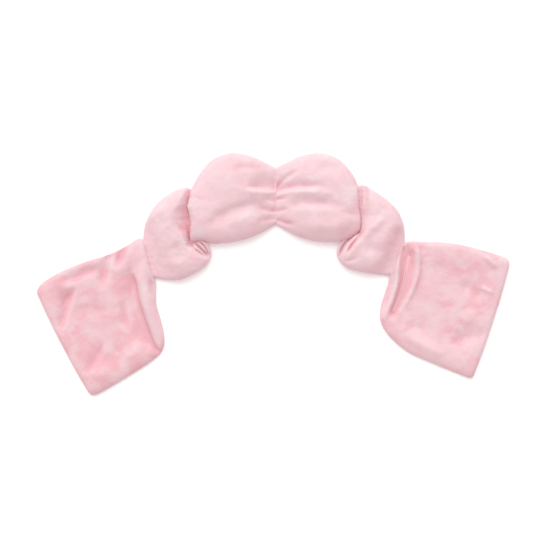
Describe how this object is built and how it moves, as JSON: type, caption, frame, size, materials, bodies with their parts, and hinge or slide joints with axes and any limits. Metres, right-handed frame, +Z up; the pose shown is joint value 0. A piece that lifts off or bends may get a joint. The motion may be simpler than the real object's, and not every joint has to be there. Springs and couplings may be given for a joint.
{
  "type": "spa headband",
  "caption": "Padded strap-free spa headband of plush fabric: bead-filled pods between gathered seams, and two flat tails with a pull-through slot.",
  "frame": {"origin": "centre of the footprint of the band as it lies, on the surface it lies on", "axes": "+X along the band towards the tail with the slot, +Y towards the forehead edge, +Z up out of the plush side"},
  "size_m": [0.654, 0.3342, 0.025],
  "materials": {
    "plush": "soft short-pile plush",
    "jersey": "fine jersey knit",
    "lining": "plain woven lining",
    "beads": "matt micro beads",
    "elastic": "covered round elastic",
    "thread": "polyester sewing thread",
    "facing": "folded jersey binding"
  },
  "bodies": {
    "inner_left_pod": {"inner_left_cover_front": "plush", "inner_left_cover_back": "jersey", "inner_left_pouch_front": "lining", "inner_left_pouch_back": "lining", "inner_left_beads": "beads", "centre_seam_elastic": "elastic", "centre_seam_thread": "thread"},
    "inner_right_pod": {"inner_right_cover_front": "plush", "inner_right_cover_back": "jersey", "inner_right_pouch_front": "lining", "inner_right_pouch_back": "lining", "inner_right_beads": "beads"},
    "outer_left_pod": {"outer_left_cover_front": "plush", "outer_left_cover_back": "jersey", "outer_left_pouch_front": "lining", "outer_left_pouch_back": "lining", "outer_left_beads": "beads", "left_pod_seam_elastic": "elastic", "left_pod_seam_thread": "thread", "left_tail_seam_elastic": "elastic", "left_tail_seam_thread": "thread"},
    "outer_right_pod": {"outer_right_cover_front": "plush", "outer_right_cover_back": "jersey", "outer_right_pouch_front": "lining", "outer_right_pouch_back": "lining", "outer_right_beads": "beads", "right_pod_seam_elastic": "elastic", "right_pod_seam_thread": "thread", "right_tail_seam_elastic": "elastic", "right_tail_seam_thread": "thread"},
    "left_tail": {"left_tail_ply_front": "plush", "left_tail_ply_back": "jersey"},
    "right_tail": {"right_tail_ply_front": "plush", "right_tail_ply_back": "jersey", "slot_facing": "facing", "slot_bartacks": "thread"}
  },
  "joints": [
    {"name": "centre_fold", "type": "hinge", "parent": "inner_left_pod", "child": "inner_right_pod", "pos_m": [0.004, 0.108, 0.003], "axis": [0, 1, 0], "range_deg": [-90, 90]},
    {"name": "left_pod_fold", "type": "hinge", "parent": "inner_left_pod", "child": "outer_left_pod", "pos_m": [-0.113, 0.08, 0.003], "axis": [0, 1, 0], "range_deg": [-90, 60]},
    {"name": "right_pod_fold", "type": "hinge", "parent": "inner_right_pod", "child": "outer_right_pod", "pos_m": [0.117, 0.0905, 0.003], "axis": [0, -1, 0], "range_deg": [-90, 60]},
    {"name": "left_tail_fold", "type": "hinge", "parent": "outer_left_pod", "child": "left_tail", "pos_m": [-0.1715, 0.0225, 0.003], "axis": [-0.2723, 0.9622, 0], "range_deg": [-75, 120]},
    {"name": "right_tail_fold", "type": "hinge", "parent": "outer_right_pod", "child": "right_tail", "pos_m": [0.171, 0.021, 0.003], "axis": [-0.4138, -0.9104, 0], "range_deg": [-75, 120]}
  ]
}
